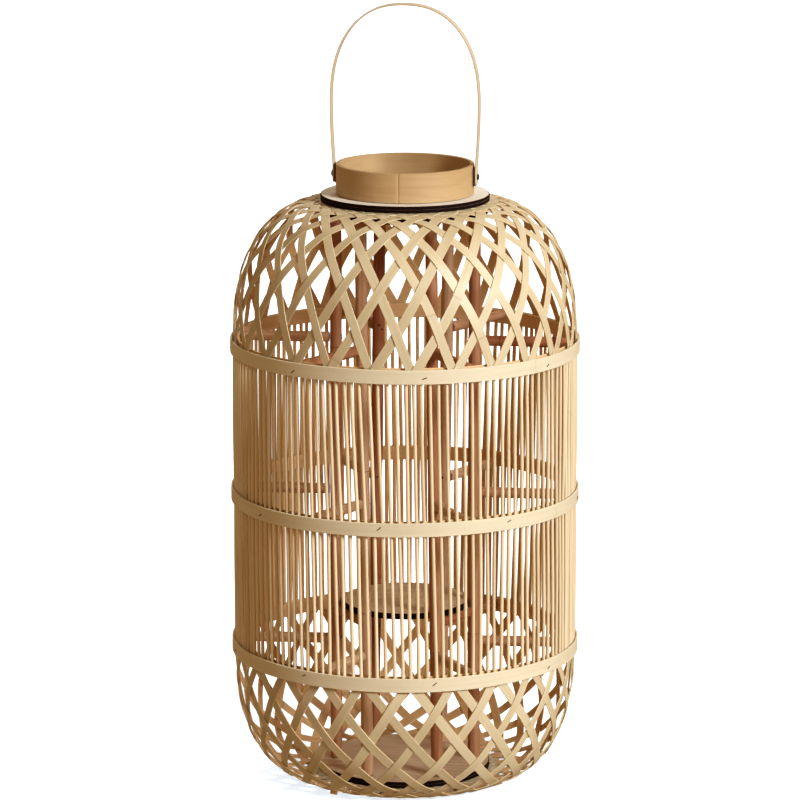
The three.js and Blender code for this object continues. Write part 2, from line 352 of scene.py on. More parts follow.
def split_bamboo(name, dark, mid, light, fibre=2400.0, joint=0.31, rough=0.52, gloss=0.3, stain=0.3, mark=0.35,
                 back=1.0):
    """Bamboo split into strips or sticks: fine fibres along it, now and then a joint of the cane.
    Beyond back, measured round its section, lies the softer and browner inner side of the cane, painted brighter
    and more orange than it is: painted glow of light bouncing inside the lantern."""
    p = Paint(name)
    fine = p.noise((34.0, fibre, 91.0), detail=4.0, rough=0.7)
    broad = p.noise((7.0, fibre * 0.11, 57.0), detail=2.0)
    blotch = p.noise((16.0, 60.0, 33.0), detail=3.0)
    level = p.blend((fine, 0.34), (broad, 0.3), (p.tone, 0.36))
    colour = p.ramp(level, (0.22, dark), (0.5, mid), (0.78, light))
    # Painted glow: the inner side takes the brightened pith colour.
    inner_side_glow = p.math("MULTIPLY", p.span(p.across, back, back + 0.3 * MM), p.span(fine, 0.3, 0.7, 0.7, 1.0))
    colour = p.mix(inner_side_glow, colour, PITH_WITH_PAINTED_GLOW)
    stains = p.span(blotch, 0.56, 0.78, 0.0, stain)
    colour = p.mix(stains, colour, tuple(c * s for c, s in zip(dark, (0.86, 0.78, 0.66))))
    shift = p.math("MULTIPLY_ADD", p.tone, 7.31, p.math("DIVIDE", p.along, joint))
    wobble = p.math("MULTIPLY", p.noise((3.0, 260.0, 21.0), detail=1.0), 0.01)
    gap = p.math("ABSOLUTE", p.math("SUBTRACT", p.math("FRACT", p.math("ADD", shift, wobble)), 0.5))
    line = p.span(gap, 0.0012 / joint, 0.0, 0.0, mark)
    halo = p.span(gap, 0.008 / joint, 0.0, 0.0, 0.5 * mark)
    colour = p.mix(halo, colour, tuple(c * s for c, s in zip(mid, (0.82, 0.74, 0.62))))
    colour = p.mix(p.math("MULTIPLY", line, 0.75), colour, tuple(c * 0.42 for c in dark))
    cut = p.math("MULTIPLY", p.math("POWER", p.rim, 2.0), p.span(fine, 0.35, 0.7, 0.2, 0.8))
    colour = p.mix(cut, colour, tuple(min(c * s, 1.0) for c, s in zip(light, (1.04, 1.02, 0.94))))
    roughness = p.math("ADD", p.math("MULTIPLY_ADD", fine, 0.22, rough - 0.1), p.math("MULTIPLY", stains, 0.2))
    height = p.blend((fine, 0.7), (line, -0.6), (halo, 0.9))
    return p.done(colour, roughness, height, 0.25 * MM, strength=0.55, Coat_Weight=gloss,
                  Coat_Roughness=0.5, Specular_IOR_Level=0.6)


def dowel_bamboo(name):
    """Thin reddish canes with darker streaks."""
    p = Paint(name)
    fine = p.noise((20.0, 1500.0, 83.0), detail=4.0, rough=0.7)
    streak = p.noise((5.0, 260.0, 41.0), detail=3.0, rough=0.6)
    patch = p.noise((13.0, 30.0, 19.0), detail=2.0)
    level = p.blend((fine, 0.2), (streak, 0.3), (p.tone, 0.5))
    colour = p.ramp(level, (0.3, (0.23, 0.085, 0.04)), (0.42, (0.36, 0.155, 0.078)), (0.55, (0.47, 0.265, 0.155)),
                    (0.68, (0.58, 0.41, 0.27)), (0.8, (0.64, 0.49, 0.34)))
    colour = p.mix(p.span(patch, 0.55, 0.75, 0.0, 0.5), colour, (0.53, 0.35, 0.2))
    colour = p.mix(p.math("MULTIPLY", p.rim, 0.75), colour, (0.1, 0.04, 0.022))
    roughness = p.math("MULTIPLY_ADD", streak, 0.25, 0.42)
    height = p.blend((fine, 0.6), (streak, 0.5))
    return p.done(colour, roughness, height, 0.4 * MM, strength=0.6, Specular_IOR_Level=0.4)


def plywood(name, face_dark, face_light):
    """A thin laser-cut sheet: straight face grain, a scorched rim and charred edge, with brown chamfers as a
    painted highlight along the edge.
    """
    p = Paint(name)
    fine = p.noise((14.0, 620.0, 51.0), detail=4.0, rough=0.65)
    figure = p.noise((3.0, 46.0, 23.0), detail=3.0, distortion=0.6)
    waves = p.math("SINE", p.math("MULTIPLY", p.math("ADD", figure, p.tone), 58.0))
    level = p.math("ADD", p.math("MULTIPLY", fine, 0.6), p.math("MULTIPLY_ADD", waves, 0.12, 0.2))
    colour = p.ramp(level, (0.25, face_dark), (0.7, face_light))
    speck = p.noise((260.0, 2600.0, 9.0), detail=1.0)
    colour = p.mix(p.span(speck, 0.7, 0.8, 0.0, 0.3), colour, tuple(c * 0.5 for c in face_dark))
    char_and_painted_highlight = p.math("ADD", p.rim, p.math("MULTIPLY_ADD", fine, 0.2, -0.1))
    # Scorch and painted highlight: brown near the edges over each face, and at the chamfers a brown line painted
    # as a highlight between the charred edges.
    colour = p.mix(p.span(char_and_painted_highlight, 0.1, 0.5), colour, (0.1, 0.038, 0.024))
    colour = p.mix(p.span(char_and_painted_highlight, 0.6, 0.9), colour, (0.012, 0.005, 0.004))
    roughness = p.math("MULTIPLY_ADD", fine, 0.2, 0.6)
    return p.done(colour, roughness, fine, 0.3 * MM, strength=0.5, Specular_IOR_Level=0.2)


def collar_wood(name):
    """A steamed and bent board: fine straight grain with long curved figure."""
    p = Paint(name)
    fine = p.noise((18.0, 1300.0, 61.0), detail=4.0, rough=0.7)
    figure = p.noise((9.0, 70.0, 13.0), detail=2.0, distortion=0.8)
    waves = p.math("SINE", p.math("MULTIPLY", figure, 22.0))
    level = p.math("ADD", p.math("MULTIPLY", fine, 0.4), p.math("MULTIPLY_ADD", waves, 0.05, 0.3))
    colour = p.ramp(level, (0.25, (0.42, 0.285, 0.15)), (0.5, (0.495, 0.36, 0.205)), (0.75, (0.555, 0.42, 0.255)))
    patch = p.noise((16.0, 30.0, 3.0), detail=3.0)
    colour = p.mix(p.span(patch, 0.5, 0.8, 0.0, 0.4), colour, (0.5, 0.32, 0.15))
    # Painted shade: the top and bottom edges are darkened to tone down the bright top rim.
    colour = p.mix(p.math("MULTIPLY", p.rim, p.span(fine, 0.3, 0.7, 0.3, 0.8)), colour, (0.36, 0.25, 0.14))
    roughness = p.math("MULTIPLY_ADD", fine, 0.2, 0.36)
    return p.done(colour, roughness, level, 0.25 * MM, strength=0.4, Coat_Weight=0.18, Coat_Roughness=0.3)


def leather(name):
    """Dark red-brown leather with a pebbled grain and a raw edge."""
    p = Paint(name)
    where = p.place()
    pebble = p.tree.nodes.new("ShaderNodeTexVoronoi")
    p.link(p.scaled((1500.0, 1500.0, 1500.0), where), pebble.inputs["Vector"])
    pebble.inputs["Scale"].default_value = 1.0
    cell = pebble.outputs["Distance"]
    cloud = p.noise((260.0, 260.0, 260.0), detail=3.0, vector=where)
    colour = p.ramp(p.math("MULTIPLY_ADD", cloud, 0.8, p.math("MULTIPLY", cell, 0.2)),
                    (0.3, (0.03, 0.008, 0.005)), (0.6, (0.075, 0.021, 0.012)), (0.85, (0.13, 0.042, 0.024)))
    colour = p.mix(p.math("MULTIPLY", p.rim, 0.5), colour, (0.19, 0.07, 0.036))
    roughness = p.math("MULTIPLY_ADD", cell, 0.3, 0.5)
    return p.done(colour, roughness, cell, 0.2 * MM, strength=0.7)


def rivet_metal(name):
    """Antique-finish metal: dark in the hollows, brighter where it is rubbed."""
    p = Paint(name)
    where = p.place()
    cloud = p.noise((420.0, 420.0, 420.0), detail=4.0, vector=where)
    pits = p.noise((1900.0, 1900.0, 1900.0), detail=2.0, vector=where)
    colour = p.ramp(cloud, (0.35, (0.035, 0.03, 0.028)), (0.6, (0.1, 0.085, 0.075)), (0.8, (0.24, 0.2, 0.17)))
    colour = p.mix(p.math("MULTIPLY", p.rim, 0.4), colour, (0.3, 0.26, 0.22))
    roughness = p.math("MULTIPLY_ADD", pits, 0.3, 0.28)
    return p.done(colour, roughness, pits, 0.12 * MM, strength=0.5, Metallic=0.9)


STRIP = split_bamboo("woven_bamboo", (0.45, 0.37, 0.235), (0.555, 0.48, 0.325), (0.645, 0.58, 0.425),
                     back=9.4 * MM)
BAND = split_bamboo("band_bamboo", (0.55, 0.485, 0.35), (0.635, 0.58, 0.44), (0.7, 0.655, 0.53), joint=0.4,
                    mark=0.2)
# Inner bands: the band bamboo painted warmer and brighter, as painted glow of light bouncing inside the lantern.
INNER_BAND_PAINTED_GLOW = split_bamboo("inner_band_bamboo_painted_glow", (0.58, 0.39, 0.21), (0.7, 0.5, 0.285), (0.78, 0.6, 0.38), joint=0.4,
                     gloss=0.1, mark=0.25)
STICK = split_bamboo("stick_bamboo", (0.56, 0.455, 0.29), (0.68, 0.58, 0.41), (0.76, 0.68, 0.51), fibre=2800.0,
                     mark=0.08, back=6.3 * MM)
HANDLE = split_bamboo("handle_bamboo", (0.46, 0.38, 0.26), (0.56, 0.485, 0.36), (0.65, 0.58, 0.45), joint=0.36,
                      mark=0.2)
DOWEL = dowel_bamboo("cane")
PLY = plywood("plywood_pale", (0.62, 0.59, 0.52), (0.77, 0.755, 0.7))
PLY_TAN = plywood("plywood_tan", (0.5, 0.38, 0.25), (0.64, 0.52, 0.37))
COLLAR = collar_wood("bent_collar_wood")
LEATHER = leather("tab_leather")
METAL = rivet_metal("antique_rivet")


# ---- Woven shoulder and bowl ----
CURVE_POWER = 2.3
CURVE_STEPS = 400
ROUTE_STEP = 1.9 * MM
TWIST_REACH = 45 * MM            # how far from a hoop the strips are pulled round by it
STRIP_WIDTH = 9.2 * MM
STRIP_SHEET = 1.0 * MM           # thickness of a strip
SWELL = 0.62 * MM                # how far a strip rises over or dips under at each crossing
STRIP_JOG = 0.9                  # in millimetres, how far its start stands off its even place
STRIP_SWAY = 0.8                 # in millimetres, how far it sways on its way
CROWDING = 0.97                  # share of the free width that strips side by side may fill
SHOULDER_THROAT = 78 * MM
SHOULDER_START = 449.5 * MM
BOWL_THROAT = 95 * MM
BOWL_START = 128 * MM
LIP_OUTER = 87 * MM
LIP_INNER = 77 * MM
LIP_STEPS = 12
TOP_COUNT = 26
TOP_TANGENT = 75.5 * MM          # the shoulder's strips run as if drawn tight past a circle of this radius
TOP_MOST_LEAN = math.radians(68)
TOP_TWIST = math.radians(-2.3)
BOTTOM_COUNT = 24
BOTTOM_LEANS = {1: 37, -1: 31}   # in degrees at the hoop, for each family of strips
BOTTOM_LAST_LEAN = 72            # in degrees, where both come in under the base
HALF_ROOM = 1.2 * MM             # the middle line's distance inside the shell's outer face


def quarter_curve(centre, a, start, b, steps):
    """A quarter superellipse from the side (centre + a) to the end (start + b)."""
    places = []
    for i in range(steps + 1):
        angle = (i / steps) * math.pi / 2
        across = max(math.cos(angle), 0.0) ** (2 / CURVE_POWER)
        up = math.sin(angle) ** (2 / CURVE_POWER)
        places.append((centre + a * across, start + b * up))
    return places


def outline(centre, a, start, b, head, tail):
    """An outline from a hoop to the throat as (radius, height) every small step, with its own length at each."""
    places = [head, *quarter_curve(centre, a, start, b, CURVE_STEPS), *tail]
    lengths = [0.0]
    for (r0, z0), (r1, z1) in zip(places, places[1:]):
        lengths.append(lengths[-1] + math.hypot(r1 - r0, z1 - z0))
    return places, lengths


def even_places(places, lengths):
    """The outline again at even steps along it."""
    total = lengths[-1]
    count = int(math.ceil(total / ROUTE_STEP))
    result, k = [], 0
    for i in range(count + 1):
        s = total * i / count
        while k < len(lengths) - 2 and lengths[k + 1] < s:
            k += 1
        gap = lengths[k + 1] - lengths[k]
        share = (s - lengths[k]) / gap if gap > 0 else 0.0
        (r0, z0), (r1, z1) = places[k], places[k + 1]
        result.append((s, r0 + (r1 - r0) * share, z0 + (z1 - z0) * share))
    return result


def weave(node, route, count, phases, leans, tones, twist=0.0):
    """Both families of strips over one outline. route holds (length, radius, height)."""
    step = TURN / count
    turns = {}
    for sign in (1, -1):
        angle, angles = 0.0, []
        for k, (s, r, _) in enumerate(route):
            if k:
                ds = s - route[k - 1][0]
                angle += math.tan(leans[sign](s, r)) / r * ds
            angles.append(angle)
        turns[sign] = angles
    start = phases[-1] - phases[1]
    for sign, side in ((1, "right"), (-1, "left")):
        build = Build()
        for i in range(count):
            jog = rng.uniform(-STRIP_JOG, STRIP_JOG) * MM
            sway = [rng.uniform(-STRIP_SWAY, STRIP_SWAY) * MM for _ in range(3)]
            own = STRIP_WIDTH * rng.uniform(0.93, 1.06)
            tone = rng.choice(tones) + rng.uniform(-0.18, 0.18)
            stops, centres, outs = [], [], []
            for k, (s, r, z) in enumerate(route):
                share = s / route[-1][0]
                lateral = jog + sum(w * math.sin(math.pi * (n + 1) * share) for n, w in enumerate(sway))
                angle = phases[sign] + i * step + sign * turns[sign][k] + lateral * (1 - share) / r
                angle += twist * math.exp(-((s / TWIST_REACH) ** 2))
                crossing = math.pi * (turns[1][k] + turns[-1][k] - start) / step
                lift = sign * SWELL * math.cos(crossing)
                before, after = route[max(k - 1, 0)], route[min(k + 1, len(route) - 1)]
                dr, dz = after[1] - before[1], after[2] - before[2]
                size = math.hypot(dr, dz)
                outs.append(polar(abs(dz) / size, angle, math.copysign(dr, -dz * dr) / size))
                centres.append(polar(r, angle, z) + outs[k] * lift)
            for k, (s, r, _) in enumerate(route):
                room = TURN * r / count * math.cos(leans[sign](s, r)) * CROWDING
                stops.append((centres[k], *square(centres, k, outs[k]), flat_strip(min(own, room))))
            build.sweep(stops, tone)
        build.piece(f"{node}_{side}", STRIP, "lantern", "woven_strip", (node,))


def flat_strip(width):
    return strip_section(width, -STRIP_SHEET / 2, STRIP_SHEET / 2)


VIEW_TURN = 10.0                 # degrees from the frame's front to the side that the main view faces


def azimuth(view_degrees):
    """An angle about Z given the main view's own front-facing angle."""
    return math.radians(view_degrees + VIEW_TURN)


def top_lean(s, r):
    return math.asin(min(TOP_TANGENT / r, math.sin(TOP_MOST_LEAN)))


def make_top():
    a = STRIP_LINE - SHOULDER_THROAT
    b = high_z("top_weave") - HALF_ROOM - SHOULDER_START
    head = (STRIP_LINE, low_z("top_weave"))
    route = even_places(*outline(SHOULDER_THROAT, a, SHOULDER_START, b, head, []))
    phases, leans = dict.fromkeys((1, -1), azimuth(-1.8)), dict.fromkeys((1, -1), top_lean)
    weave("top_weave", route, TOP_COUNT, phases, leans, (0.35, 0.5, 0.62), TOP_TWIST)


def make_bottom():
    a = STRIP_LINE - BOWL_THROAT
    b = low_z("bottom_weave") + HALF_ROOM - BOWL_START
    lip_z = (high_z("base_ring") + low_z("base_plate_lower")) / 2
    tail = []
    for i in range(1, LIP_STEPS + 1):
        share = i / LIP_STEPS
        r = BOWL_THROAT + (LIP_OUTER - BOWL_THROAT) * share
        tail.append((r, BOWL_START + b + (lip_z - BOWL_START - b) * share * share * (3 - 2 * share)))
    tail.append((LIP_INNER, lip_z))
    head = (STRIP_LINE, high_z("bottom_weave"))
    places, lengths = outline(BOWL_THROAT, a, BOWL_START, b, head, tail)
    route = even_places(places, lengths)

    def lean(first):
        def at(s, r):
            share = min(s / lengths[-1], 1.0)
            return math.radians(first + (BOTTOM_LAST_LEAN - first) * share ** 3)
        return at

    phases = {1: azimuth(1.9), -1: azimuth(0.8)}
    leans = {sign: lean(first) for sign, first in BOTTOM_LEANS.items()}
    weave("bottom_weave", route, BOTTOM_COUNT, phases, leans, (0.35, 0.5, 0.65))


def make_tail():
    """The end of one strip, cut long, that stands out under the bowl."""
    angle = azimuth(-90 - 37)
    inward, across = -polar(1.0, angle, 0.0), polar(1.0, angle + math.pi / 2, 0.0)
    line = [polar(r * MM, angle, z * MM) for r, z in ((114, 9.5), (116, 6.6), (117.6, 3.8), (118.6, 1.0))]
    build = Build()
    build.sweep([(place, across, inward, flat_strip(9 * MM)) for place in line], 0.5)
    build.piece("loose_strip_end", STRIP, "lantern", "woven_strip")


# ---- Sticks ----
PANEL_COUNT = 12
STICKS_PER_PANEL = 11
STICK_RADIUS = 1.95 * MM
STICK_SIDES = 14
STICK_ROWS = 26
STICK_OFF, STICK_MOST = 0.6, 1.3               # in millimetres, how far a stick stands off its place
LEANS = {                        # in each bay: (degrees from the main view's front, width, lean)
    0: ((6, 12, 0.018), (-70, 40, 0.016), (-18, 26, 0.012), (52, 14, 0.018), (128, 30, 0.026), (205, 25, -0.014)),
    1: ((-17, 17, 0.042), (12, 14, 0.012), (45, 14, 0.013), (140, 24, 0.034), (190, 20, -0.018), (-110, 18, 0.02)),
}


def lean_at(bay, angle):
    """How far the sticks lean round, as a share of their drop: they were pushed in by hand, in runs."""
    view = math.degrees(angle) + 90 - VIEW_TURN
    total = 0.002
    for centre, width, lean in LEANS[bay]:
        off = (view - centre + 180) % 360 - 180
        total += lean * math.exp(-((off / width) ** 2))
    return total


def make_sticks():
    count = PANEL_COUNT * STICKS_PER_PANEL
    low, high = low_z("stick_panel_1"), high_z("stick_panel_1")
    ends = (low, HOOP_MID["middle"], high)
    for panel in range(PANEL_COUNT):
        build = Build()
        for n in range(STICKS_PER_PANEL):
            number = panel * STICKS_PER_PANEL + n - STICKS_PER_PANEL // 2
            angle = TURN * number / count
            shift = [max(-STICK_MOST, min(STICK_MOST, rng.gauss(0, STICK_OFF))) * MM for _ in range(3)]
            shift[0] += lean_at(0, angle) * (HOOP_MID["middle"] - low)
            shift[2] -= lean_at(1, angle) * (high - HOOP_MID["middle"])
            bow = [rng.uniform(-0.5, 0.8) * MM for _ in range(2)]
            side_bow = [rng.uniform(-0.5, 0.5) * MM for _ in range(2)]
            radius = STICK_RADIUS * rng.uniform(0.9, 1.0)
            tone = rng.choice((0.3, 0.5, 0.55, 0.7)) + rng.uniform(-0.2, 0.2)
            spin = rng.uniform(0, TURN)
            stops, centres = [], []
            for k in range(STICK_ROWS + 1):
                z = low + (high - low) * k / STICK_ROWS
                half = 0 if z < HOOP_MID["middle"] else 1
                inside = (z - ends[half]) / (ends[half + 1] - ends[half])
                lateral = shift[half] + (shift[half + 1] - shift[half]) * inside
                lateral += side_bow[half] * math.sin(math.pi * inside)
                out = bow[half] * math.sin(math.pi * inside)
                centres.append(polar(LAYER_RADIUS + out, angle + lateral / LAYER_RADIUS, z))
            for k, centre in enumerate(centres):
                grow = radius * (0.97 + 0.03 * math.sin(spin + 17 * k / STICK_ROWS))
                stops.append((centre, *square(centres, k, polar(1.0, angle, 0.0)),
                              round_section(grow, STICK_SIDES)))
            build.sweep(stops, tone)
        build.piece(f"sticks_{panel + 1}", STICK, "lantern", "bamboo_stick", (f"stick_panel_{panel + 1}",), 60)


# ---- Hoops ----
LAP = math.radians(16)           # how far a band's two ends overlap
BAND_STEPS = 220
BAND_WAVE = 0.25 * MM
BAND_CLEAR = 0.12 * MM           # how far a band's face stays inside its node's outer face
SEAMS = {"lower": 60, "middle": 145, "upper": 98}      # in degrees, where each outer band starts


def wound_band(inner, outer, low, high, seam, tone):
    """A strip bent round once, its ends shaved to half thickness and lapped."""
    build = Build()
    stops = []
    middle = (inner + outer) / 2
    for k in range(BAND_STEPS + 1):
        turned = (TURN + LAP) * k / BAND_STEPS
        angle = seam + turned
        under = max(0.0, min(1.0, (LAP * 2.2 - turned) / (LAP * 1.2)))
        over = max(0.0, min(1.0, (turned - TURN + LAP * 1.2) / (LAP * 1.2)))
        back = inner + (middle + CLEAR - inner) * over
        face = outer - (outer - middle + CLEAR) * under
        sag = BAND_WAVE * (math.sin(3 * turned) + 0.4 * math.sin(7 * turned + 1))
        section = strip_section(high - low, back, face, 0.45 * MM, crown=min(0.12 * MM, outer - face))
        centre = Vector((0, 0, (low + high) / 2 + sag))
        stops.append((centre, Vector((0, 0, 1)), polar(1.0, angle, 0.0), section))
    build.sweep(stops, tone)
    sides = len(section)
    for n, grain in enumerate(build.grain):
        grain.x = outer * (TURN + LAP) * (n // sides) / BAND_STEPS
    return build


STAPLES = 8
STAPLE_WIRE = 0.42 * MM
STAPLE_LINE = ((-1.0, 0.5), (-0.8, 0.1), (-0.4, 0.0), (0.0, 0.0), (0.4, 0.0), (0.8, 0.1), (1.0, 0.5))
FIRST_STAPLE = {"lower": -78.6, "middle": -98.8, "upper": -81.8}   # in degrees from the main view's right


def make_hoops():
    for number, level in enumerate(LEVELS):
        low, high = HOOP_LOW[level], HOOP_HIGH[level]
        outer = wound_band(HOOP_RADIUS - OUTER_BAND, HOOP_RADIUS - BAND_CLEAR, low, high,
                           math.radians(SEAMS[level]), 0.45 + 0.1 * number)
        outer.piece(f"band_outer_{level}", BAND, "lantern", "hoop_band", (f"outer_band_{level}",))
        inner = wound_band(INNER_HOOP - INNER_BAND, INNER_HOOP - BAND_CLEAR, low + 0.4 * MM, high + 0.6 * MM,
                           math.radians(SEAMS[level] + 140), 0.3 + 0.1 * number)
        inner.piece(f"band_inner_{level}", INNER_BAND_PAINTED_GLOW, "lantern", "hoop_band", (f"inner_band_{level}",))
        make_staples(level)


def make_staples(level):
    """Fine wire staples pressed through the outer band, each lying aslant and half sunk."""
    build = Build()
    for i in range(STAPLES):
        angle = azimuth(FIRST_STAPLE[level]) + TURN * (i + rng.uniform(-0.05, 0.05)) / STAPLES
        z = HOOP_MID[level] + rng.uniform(-2.2, 2.2) * MM
        lean = math.radians(rng.uniform(18, 46))
        half = rng.uniform(2.0, 2.8) * MM
        stops, bars = [], []
        for share, sink in STAPLE_LINE:
            reach = share * half
            turned = angle + reach * math.cos(lean) / HOOP_RADIUS
            stops.append(polar(HOOP_RADIUS - sink * MM, turned, z + reach * math.sin(lean)))
        for k, place in enumerate(stops):
            bars.append((place, *square(stops, k, polar(1.0, angle, 0.0)), round_section(STAPLE_WIRE, 8)))
        build.sweep(bars, rng.random())
    build.piece(f"staples_{level}", METAL, "lantern", "rivet_metal", (), 60)


# ---- Round bamboo frame ----
CANE_SIDES = 24
ROUND_END = 1.2 * MM
POST_TONES = (0.6, 0.85, 0.35, 0.6, 0.8, 0.55)


def cane(name, start, end, radius, tone, nodes, joints=()):
    """A thin whole cane between two points, with swollen joints and rounded ends."""
    along = (end - start).normalized()
    side = Vector((0, 0, 1)) if abs(along.z) < 0.9 else Vector((1, 0, 0))
    across = along.cross(side).normalized()
    out = across.cross(along).normalized()
    length = (end - start).length
    rows = max(12, int(length / (6 * MM)))
    seeds = [rng.uniform(0, TURN) for _ in range(4)]
    marks = sorted(set([0.0, 0.5 * MM, ROUND_END, length - ROUND_END, length - 0.5 * MM, length]
                       + [length * k / rows for k in range(1, rows)]
                       + [j * length + d * MM for j in joints for d in (-2.4, -1.2, -0.5, 0.0, 0.5, 1.2, 2.4)]))
    build = Build()
    stops = []
    for s in marks:
        round_off = 1.0 - 0.12 * max(0.0, 1 - min(s, length - s) / ROUND_END) ** 2
        waver = 1 - 0.035 + 0.02 * math.sin(seeds[0] + 60 * s) + 0.012 * math.sin(seeds[1] + 140 * s)
        near = min([abs(s - j * length) for j in joints] or [1.0])
        swell = 0.03 * math.exp(-((near / (1.3 * MM)) ** 2))
        ring = 1.0 if near < 0.3 * MM else 0.0
        bend = 0.35 * MM * math.sin(math.pi * s / length) * math.sin(seeds[2])
        section = []
        for j in range(CANE_SIDES):
            angle = TURN * j / CANE_SIDES
            grow = radius * (round_off * waver + swell + 0.012 * math.sin(3 * angle + seeds[3]))
            grow = min(grow, radius)
            section.append((grow * math.cos(angle), grow * math.sin(angle), ring))
        stops.append((start + along * s + out * bend, across, out, section))
    build.sweep(stops, tone)
    last = len(build.points)
    for j in range(CANE_SIDES):
        build.rim[j] = 0.5
        build.rim[last - 1 - j] = 0.5
    build.piece(name, DOWEL, "lantern", "bamboo_dowel", nodes, 50)


def at_post(index, radius, z):
    """A place in line with a post at this height. The posts lean a little way round."""
    share = (z - low_z("post_1")) / (high_z("post_1") - low_z("post_1"))
    return polar(radius, POST_TURN + POST_TWIST * share + TURN * index / POST_COUNT, z)


def middle_z(node):
    return (low_z(node) + high_z(node)) / 2


def make_canes():
    low, high = low_z("post_1"), high_z("post_1")
    for i in range(POST_COUNT):
        foot, head = at_post(i, POST_CIRCLE, low), at_post(i, POST_CIRCLE, high)
        joints = (rng.uniform(0.2, 0.35), rng.uniform(0.55, 0.8))
        cane(f"cane_post_{i + 1}", foot, head, POST_RADIUS, POST_TONES[i], (f"post_{i + 1}",), joints)
    near = POST_CIRCLE + POST_RADIUS + NODE_GAP
    far = INNER_HOOP - INNER_BAND - 0.5 * MM
    for level in LEVELS:
        z = middle_z(f"spoke_{level}_1")
        for i in range(POST_COUNT):
            start, end = at_post(i, near, z), at_post(i, far, z)
            cane(f"cane_spoke_{level}_{i + 1}", start, end, SPOKE_RADIUS, rng.uniform(0.3, 1.0),
                 (f"spoke_{level}_{i + 1}",), (rng.uniform(0.2, 0.8),))
    z = middle_z("rung_1")
    for number, first in enumerate((1, 3, 5)):
        a, b = at_post(first, POST_CIRCLE, z), at_post(first + 1, POST_CIRCLE, z)
        inset = (b - a).normalized() * (POST_RADIUS + NODE_GAP)
        cane(f"cane_rung_{number + 1}", a + inset, b - inset, RUNG_RADIUS, rng.uniform(0.3, 0.7),
             (f"rung_{number + 1}",))


NAIL_ROWS = ((-1.0, 1.0), (0.15, 1.0), (0.4, 0.55))        # (rise, radius) in millimetres


def make_nails():
    """Nail heads on the inner side of each post, where its spokes are nailed on."""
    for level in LEVELS:
        z = middle_z(f"spoke_{level}_1")
        build = Build()
        for i in range(POST_COUNT):
            for side in (-1, 1):
                axis = at_post(i, POST_CIRCLE, z + rng.uniform(-2.5, 2.5) * MM)
                inward = -Vector((axis.x, axis.y, 0)).normalized()
                across = Vector((-inward.y, inward.x, 0)) * side
                head = axis + inward * POST_RADIUS + across * rng.uniform(1.2, 2.2) * MM
                stops = [(head + inward * rise * MM, across, Vector((0, 0, 1)), round_section(radius * MM, 10))
                         for rise, radius in NAIL_ROWS]
                build.sweep(stops, rng.random())
        build.piece(f"nails_{level}", METAL, "lantern", "rivet_metal", (), 60)


# ---- Plywood ----
ROUND = 192
SHEET_EDGE = 0.45 * MM
SHEET_SCORCH = 1.2 * MM          # how far the burn of the cut reaches over a face
SCORCH_AND_HIGHLIGHT = 0.5                     # the rim value at a chamfer: brown, not charred black, as a painted highlight; over the face it fades into the scorch
FOOT_INNER = 60 * MM
NECK_INNER = 64.6 * MM           # inside of the head ring, the flange and the collar


def flat_grain(tone):
    return lambda place: (place.x, place.y + place.z * 2, tone)


def sheet_profile(inner, outer, low, high):
    """A flat ring's section with slightly softened edges. The outer edge is charred."""
    edge, band, mid = SHEET_EDGE, SHEET_SCORCH, (inner + outer) / 2
    return [
        (inner, low + edge, 1.0), (inner + edge, low, SCORCH_AND_HIGHLIGHT), (inner + band, low, 0.0), (mid, low, 0.0),
        (outer - band, low, 0.0), (outer - edge, low, SCORCH_AND_HIGHLIGHT), (outer, low + edge, 1.0),
        (outer, high - edge, 1.0), (outer - edge, high, SCORCH_AND_HIGHLIGHT), (outer - band, high, 0.0), (mid, high, 0.0),
        (inner + band, high, 0.0), (inner + edge, high, SCORCH_AND_HIGHLIGHT), (inner, high - edge, 1.0),
    ]


def disc_profile(outer, low, high):
    edge, band = SHEET_EDGE, SHEET_SCORCH
    return [
        (0, low, 0.0), (outer * 0.5, low, 0.0), (outer - band, low, 0.0), (outer - edge, low, SCORCH_AND_HIGHLIGHT),
        (outer, low + edge, 1.0), (outer, high - edge, 1.0), (outer - edge, high, SCORCH_AND_HIGHLIGHT),
        (outer - band, high, 0.0), (outer * 0.5, high, 0.0), (0, high, 0.0),
    ]


def make_plywood():
    rings = (("base_ring", FOOT_INNER, "foot_sheet", PLY_TAN),
             ("head_ring", NECK_INNER, "head_ring_stack", PLY_TAN),
             ("flange_lower_ring", NECK_INNER, "flange_sheet_lower", PLY),
             ("flange_upper_ring", NECK_INNER, "flange_sheet_upper", PLY))
    for number, (node, inner, name, material) in enumerate(rings):
        top = high_z(node) - (NODE_GAP if node == "head_ring" else 0.0)
        build = Build()
        build.turn(sheet_profile(inner, outer_radius(node), low_z(node), top), ROUND,
                   flat_grain(0.2 + 0.21 * number))
        build.piece(name, material, "lantern", "plywood", (node,))
    discs = (("base_plate_lower", "base_sheet_lower", 0.61), ("base_plate_upper", "base_sheet_upper", 0.81),
             ("candle_plate", "candle_sheet", 0.87))
    for node, name, grain in discs:
        build = Build()
        build.turn(disc_profile(outer_radius(node), low_z(node), high_z(node)), ROUND, flat_grain(grain),
                   closed=False)
        build.piece(name, PLY_TAN, "lantern", "plywood", (node,))


# ---- Collar ----
SHANK = 1.7 * MM
HOLE = 2.0 * MM
COLLAR_STEPS = 260
COLLAR_EDGE = 0.5 * MM
SEAM_STEP = 0.4 * MM             # how far the upper layer stands proud at the collar's seam


